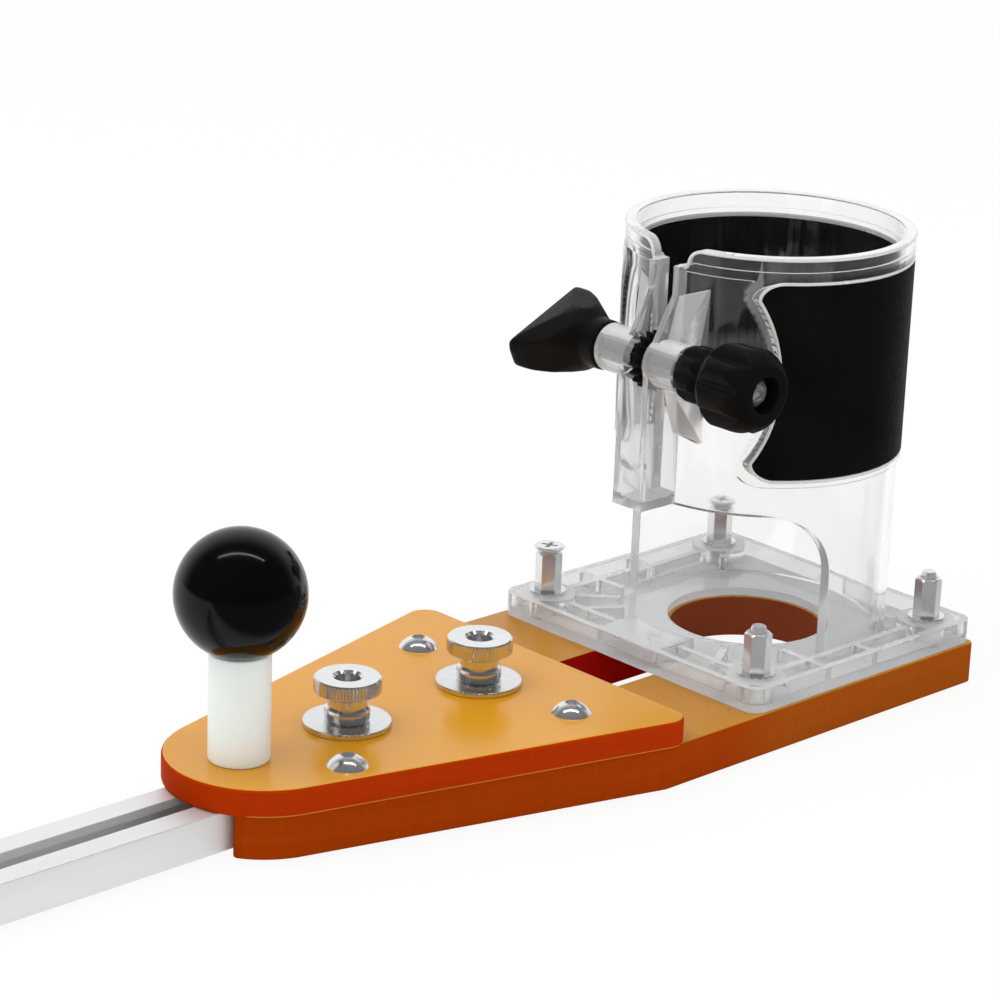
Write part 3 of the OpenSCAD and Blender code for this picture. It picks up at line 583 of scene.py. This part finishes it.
def flat_way(v):
    """Direction from the axis of the tube to a vertex."""
    return Vector((*v.co.xy, 0)).normalized()


def lip_edges(bm):
    """Sharp outer edges of the grip's frame and of the rim, each with the normal of its inward face."""
    found = {}
    for e in bm.edges:
        if len(e.link_faces) != 2 or e.calc_face_angle() < SHARP:
            continue
        if any(abs(reach(v.co) - FRAME_RADIUS) > FRAME_SLACK or v.co.z < FRAME_LOW for v in e.verts):
            continue
        face = min(e.link_faces, key=lambda f: abs(f.normal.dot(flat_way(e.verts[0]))))
        if min(reach(v.co) for v in face.verts) < FRAME_RADIUS - LIP_DEPTH:
            found[e] = face.normal.copy()
    return found


def chains(edges):
    """Runs of vertices along connected edges, with True for a closed run."""
    left = dict.fromkeys(edges)
    while left:
        run = list(left.popitem()[0].verts)
        for _ in ("forwards", "backwards"):
            while step := next((e for e in run[-1].link_edges if e in left), None):
                del left[step]
                run.append(step.other_vert(run[-1]))
            run.reverse()
        closed = run[0] == run[-1]
        yield (run[:-1] if closed else run), closed


def grip_bead():
    """Rounded lips along the edge of the grip's frame and along the outer edge of the rim, in a
    whitened finish that is a painted highlight.
    """
    bm = welded("clear_base")
    inward = lip_edges(bm)
    data = bpy.data.curves.new("grip_bead", "CURVE")
    data.dimensions = "3D"
    data.bevel_depth, data.bevel_resolution = BEAD_RADIUS, BEAD_STEPS
    data.use_fill_caps = True
    for run, closed in chains(inward):
        line = data.splines.new("POLY")
        line.points.add(len(run) - 1)
        line.use_cyclic_u = closed
        for point, v in zip(line.points, run):
            away = sum((inward[e] for e in v.link_edges if e in inward), Vector()).normalized()
            point.co = (*(v.co - away * BEAD_INSET - flat_way(v) * BEAD_SINK), 1)
    bm.free()
    guide = add_object("grip_line", data)
    me = final_mesh(guide)
    bpy.data.objects.remove(guide)
    me.name = "grip_bead"
    for f in me.polygons:
        f.use_smooth = True
    me.materials.clear()
    me.materials.append(MATS["clear_bead"])
    ob = add_object("grip_bead", me)
    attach(ob, BODY_OF["clear_base"])


# Dressing of every node

ROUNDED = {
    "top_plate": 0.8 * MM, "base_plate": 0.4 * MM, "handle_post": 0.5 * MM, "rail": 0.2 * MM,
    "front_washer": 0.25 * MM, "rear_washer": 0.25 * MM, "grip_sleeve": 0.15 * MM,
    "pinion": 0.08 * MM, "pillar_washers": 0.15 * MM, "hex_pillars": 0.1 * MM,
}
SOFTENED = {"wing_nut": (0.3 * MM, 26), "depth_knob": (0.24 * MM, 5)}
EDGE_OF = {"top_plate": ("top_edge", 0.8), "base_plate": ("base_edge", 0.3)}
STEEP, SIDEWAYS = 0.8, 0.9
HOLE_RADIUS = 20 * MM
SLOT_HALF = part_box("rail")[1].y + 1.5 * MM


def hole_wall(f):
    """True for the wall of the cutter hole."""
    return abs(f.normal.z) < STEEP and reach(f.center) < HOLE_RADIUS


def slot_wall(f):
    """True for the walls of the slot that the rail slides in."""
    return abs(f.normal.y) > SIDEWAYS and abs(f.center.y) < SLOT_HALF


for node in frame["nodes"]:
    if node == "clear_base":
        clear_moulding()
        grip_bead()
    elif node in ROUNDED:
        piece = rounded(node, ROUNDED[node])
        if node in EDGE_OF:
            edge, rise = EDGE_OF[node]
            split_faces(piece, edge, lambda f: -STEEP < f.normal.z < rise)
        if node == "base_plate":
            split_faces(piece, "hole_wall", hole_wall)
            # The slot walls take the finish that holds painted shade.
            split_faces(piece, "slot_wall", slot_wall)
    elif node in SOFTENED:
        softened(node, *SOFTENED[node])
    else:
        dress(node)


# Floor, light and world

FLOOR_SIZE, FLOOR_Z = 8.0, -0.4 * MM
FLOOR_GREY, FLOOR_GLOW = 0.9, 0.9
MIRROR_SPAN, MIRROR_DARK = (-60 * MM, -30 * MM), 0.08
CAMERA_SIDE = (-0.66, -0.72, 0.2)
CAMERA_SIDE_LIGHT = 0.76
ROOM_SPAN, ROOM_DARK = (-0.65, -0.1), 0.08
GLOW_SPAN, GLOW_LOW = (-0.1, 0.8), 0.9


def ray_kinds(t):
    """Sockets that are one for rays from the camera, mirrored rays and refracted rays."""
    path = t.add("LightPath").outputs
    return path["Is Camera Ray"], path["Is Glossy Ray"], path["Is Transmission Ray"]


def make_floor():
    """White floor that keeps shadows, and is dark in mirrors on the camera's side."""
    me = bpy.data.meshes.new("floor")
    h = FLOOR_SIZE / 2
    corners = [(x, y, FLOOR_Z) for x, y in ((-h, -h), (h, -h), (h, h), (-h, h))]
    me.from_pydata(corners, [], [(0, 1, 2, 3)])
    mat = bpy.data.materials.new("floor")
    mat.use_nodes = True
    nodes = mat.node_tree.nodes
    nodes.remove(nodes["Principled BSDF"])
    t = Tree(mat.node_tree)
    from_camera, glossy, through = ray_kinds(t)
    matt = t.add("BsdfDiffuse", Color=rgba((FLOOR_GREY,) * 3))
    across = t.add("SeparateXYZ", Vector=t.add("NewGeometry").outputs["Position"]).outputs["Y"]
    in_mirrors = t.span(across, *MIRROR_SPAN, MIRROR_DARK, 1.0, smooth=True)
    mirrored = t.math("SUBTRACT", glossy, through, clamp=True)
    white = t.add("Emission", Color=rgba((1, 1, 1)), Strength=t.blend(mirrored, 1.0, in_mirrors))
    seen = t.math("MAXIMUM", t.math("MAXIMUM", from_camera, glossy), through)
    mix = t.add("MixShader", i0=t.math("MULTIPLY", seen, FLOOR_GLOW), i1=matt, i2=white)
    t.put(nodes["Material Output"], "Surface", mix)
    me.materials.append(mat)
    add_object("floor", me)


def make_world():
    """Even light for matt surfaces; mirrors and clear plastic see a white backdrop and a dark room."""
    world = bpy.data.worlds.new("studio")
    scene.world = world
    world.use_nodes = True
    t = Tree(world.node_tree)
    way = t.add("TexCoord").outputs["Generated"]
    side = t.add("VectorMath", {"operation": "DOT_PRODUCT"}, i0=way, i1=CAMERA_SIDE).outputs["Value"]
    even = t.span(side, -1.0, 1.0, 1.0, CAMERA_SIDE_LIGHT)
    room = t.span(side, *ROOM_SPAN, 1.0, ROOM_DARK, smooth=True)
    glow = t.span(side, *GLOW_SPAN, 1.0, GLOW_LOW, smooth=True)
    _, glossy, through = ray_kinds(t)
    level = t.blend(through, t.blend(glossy, even, room), glow)
    background = world.node_tree.nodes["Background"]
    t.put(background, "Color", t.add("CombineColor", Red=level, Green=level, Blue=level))
    t.put(background, "Strength", 1.0)


def softbox(name, place, aim, size, power, turn=0.0):
    """Area lamp that looks at a point, turned about its view by degrees."""
    data = bpy.data.lights.new(name, "AREA")
    data.shape = "RECTANGLE"
    data.size, data.size_y = size
    data.energy = power
    ob = add_object(name, data)
    ob.location = place
    ob.rotation_mode = "QUATERNION"
    look = (Vector(aim) - Vector(place)).to_track_quat("-Z", "Y")
    ob.rotation_quaternion = look @ Quaternion((0, 0, 1), math.radians(turn))
    return ob


make_floor()
make_world()
softbox("strip", place=(-0.14, 0, 1.1), aim=(-0.14, 0, 0), size=(1.3, 0.035), power=2.6, turn=-43.66)
key = softbox("key", place=(-0.9, 0.3, 1.3), aim=(-0.08, 0, 0), size=(0.8, 0.8), power=5)
key.visible_glossy = False

scene.cycles.max_bounces = 32
scene.cycles.diffuse_bounces = 8
scene.cycles.glossy_bounces = 16
scene.cycles.transmission_bounces = 24
scene.cycles.transparent_max_bounces = 16
scene.cycles.use_denoising = True
